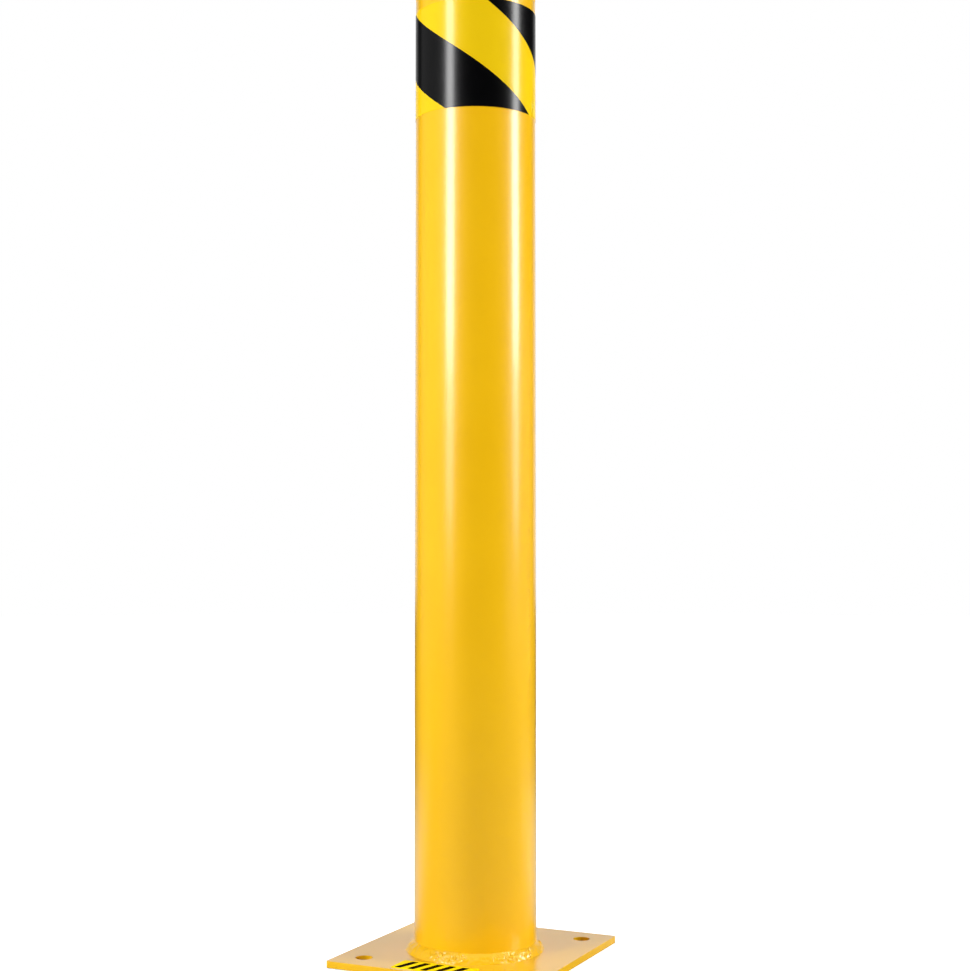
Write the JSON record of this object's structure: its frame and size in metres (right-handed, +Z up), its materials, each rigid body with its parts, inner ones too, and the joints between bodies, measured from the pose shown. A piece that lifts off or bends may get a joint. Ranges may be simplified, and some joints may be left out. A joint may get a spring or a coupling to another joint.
{
  "type": "steel safety bollard",
  "caption": "Round steel pipe bollard welded to a square bolt-down base plate, with hazard-striped reflective tape and a domed pull-off cap, for guarding walls, doors and equipment.",
  "frame": {"origin": "centre of the base plate's underside, where the bollard rests on the floor", "axes": "+Z up along the pipe's axis; X and Y along the base plate's sides; -Y is the side with the label"},
  "size_m": [0.2032, 0.2032, 0.9144],
  "materials": {
    "yellow_powder_coat": "gloss powder coat on steel",
    "reflective_yellow_film": "smooth retroreflective film",
    "tape_black_print": "gloss black print",
    "label_vinyl": "gloss vinyl",
    "label_print": "gloss black print",
    "cap_plastic": "satin moulded plastic"
  },
  "bodies": {
    "post": {"base_plate": "yellow_powder_coat", "post_pipe": "yellow_powder_coat", "fillet_weld": "yellow_powder_coat", "tape_film": "reflective_yellow_film", "tape_stripes": "tape_black_print", "plate_label": "label_vinyl", "label_bars": "label_print"},
    "cap": {"top_cap": "cap_plastic"}
  },
  "joints": [
    {"name": "cap_lift", "type": "slide", "parent": "post", "child": "cap", "axis": [0, 0, 1], "range_m": [0, 0.08]}
  ]
}
